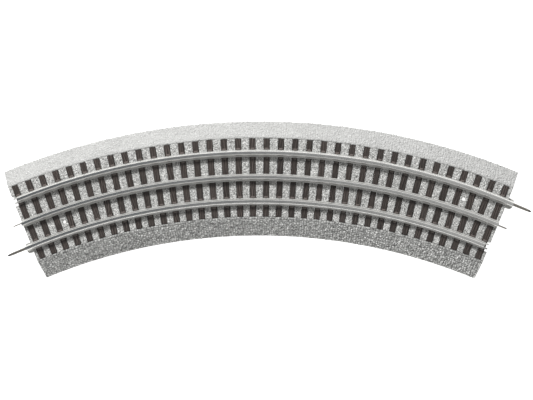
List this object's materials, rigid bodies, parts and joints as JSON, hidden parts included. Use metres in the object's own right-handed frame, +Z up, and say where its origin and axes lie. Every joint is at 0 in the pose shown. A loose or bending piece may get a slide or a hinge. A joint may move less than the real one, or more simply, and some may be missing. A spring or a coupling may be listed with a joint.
{
  "type": "model railway track section",
  "caption": "Curved O-gauge model railway track: rails and ties on a hollow moulded ballast roadbed, with pinned, snap-together ends, for laying a circle of track.",
  "frame": {"origin": "on the table plane, under the middle of the centre rail, halfway along the section", "axes": "+X along the chord to the right-hand end seen from above, +Y away from the curve's centre, +Z up"},
  "size_m": [0.3893, 0.1165, 0.02],
  "materials": {
    "ballast": "moulded stone texture, matte",
    "ties": "moulded wood grain, matte",
    "rail": "tin-plated, rolled, satin to bright",
    "pin": "nickel-plated, smooth",
    "contact": "stamped strip, plain"
  },
  "bodies": {
    "root": {"roadbed": "ballast", "tie_ladder": "ties", "outer_rail": "rail", "centre_rail": "rail", "inner_rail": "rail", "outer_rail_pin": "pin", "inner_rail_pin": "pin", "centre_pin_left": "pin", "centre_pin_right": "pin", "jumper_left": "contact", "jumper_right": "contact", "centre_terminal_left": "contact", "centre_terminal_right": "contact", "running_terminal_left": "contact", "running_terminal_right": "contact"}
  },
  "joints": []
}
